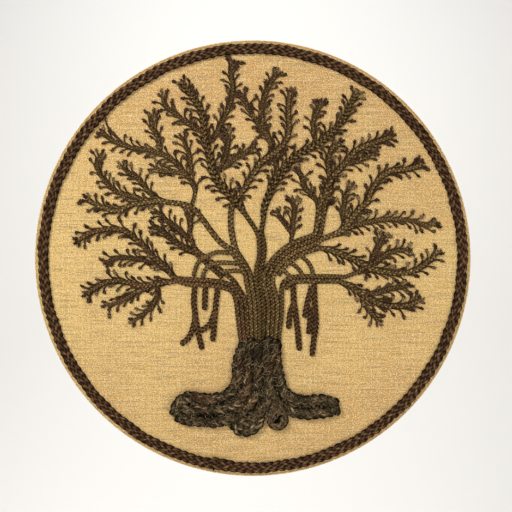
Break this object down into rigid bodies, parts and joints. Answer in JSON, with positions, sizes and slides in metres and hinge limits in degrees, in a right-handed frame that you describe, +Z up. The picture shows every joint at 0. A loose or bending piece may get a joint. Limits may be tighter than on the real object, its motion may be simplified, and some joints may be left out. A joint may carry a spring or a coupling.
{
  "type": "wall hanging",
  "caption": "Round wall hanging: a tree of life in sewn jute plaits on hessian over a board, with a plaited border and a hanging ring on the back.",
  "frame": {"origin": "middle of the back face of the board", "axes": "+Z up as it hangs, -Y out of the decorated front, +Y towards the wall"},
  "size_m": [0.7999, 0.0194, 0.8],
  "materials": {
    "plywood": "bare, sanded plywood with a pale straight grain",
    "hessian": "plain-woven natural jute, tan, with slubs and darker picks",
    "staple_wire": "galvanised, dull",
    "zinc_plate": "bright zinc plate",
    "border_jute": "dyed jute in a flat plait, dark red-brown and olive strands",
    "olive_jute": "dyed jute in a three-strand plait, olive brown",
    "red_brown_jute": "dyed jute in a three-strand plait, red brown",
    "aerial_jute": "dyed jute cord, warm brown",
    "root_jute": "loose dyed jute fibre in a thick plait, blackish brown with pale fibres"
  },
  "bodies": {
    "panel": {"backing_board": "plywood", "ground_cloth": "hessian", "cloth_staples": "staple_wire", "hanger_strap": "zinc_plate", "hanger_screws": "zinc_plate", "border_plait": "border_jute", "root_coil": "root_jute", "root_plait_left_top": "root_jute", "root_plait_right_top": "root_jute", "root_plait_left_middle": "root_jute", "root_plait_centre": "root_jute", "root_plait_left_bottom": "root_jute", "root_plait_right_bottom": "root_jute", "crossing_plait": "olive_jute", "left_high_plait": "olive_jute", "centre_left_plait": "olive_jute", "centre_right_plait": "olive_jute", "right_high_plait": "olive_jute", "right_inner_plait": "olive_jute", "right_mid_plait": "olive_jute", "right_reaching_plait": "olive_jute", "right_low_upper_plait": "olive_jute", "right_low_lower_plait": "olive_jute", "left_mid_upper_plait": "red_brown_jute", "left_low_inner_plait": "red_brown_jute", "left_low_outer_plait": "red_brown_jute", "left_mid_lower_plait": "red_brown_jute", "left_low_shoots": "red_brown_jute", "left_mid_shoot": "red_brown_jute", "left_far_shoot": "olive_jute", "left_crown_shoot": "olive_jute", "left_fan_shoots": "olive_jute", "left_crown_side_shoots": "olive_jute", "crown_left_shoot": "olive_jute", "crown_tall_shoot": "olive_jute", "crown_inner_shoots": "olive_jute", "crown_middle_left_shoot": "olive_jute", "crown_middle_right_shoot": "olive_jute", "crown_right_shoots": "olive_jute", "right_high_side_shoots": "olive_jute", "right_mid_side_shoot": "olive_jute", "right_long_shoot": "olive_jute", "right_reaching_shoots": "olive_jute", "right_low_shoots": "olive_jute", "right_fork_shoots": "red_brown_jute", "aerial_arches_left": "aerial_jute", "aerial_arches_right": "aerial_jute", "hanging_root_left_outer": "aerial_jute", "hanging_root_left_middle": "aerial_jute", "hanging_root_left_inner": "aerial_jute", "hanging_root_right_inner": "aerial_jute", "hanging_root_right_outer": "aerial_jute"},
    "ring": {"hanger_ring": "zinc_plate"}
  },
  "joints": [
    {"name": "ring_swing", "type": "hinge", "parent": "panel", "child": "ring", "pos_m": [0, 0.00225, 0.33475], "axis": [-1, 0, 0], "range_deg": [0, 170]}
  ]
}
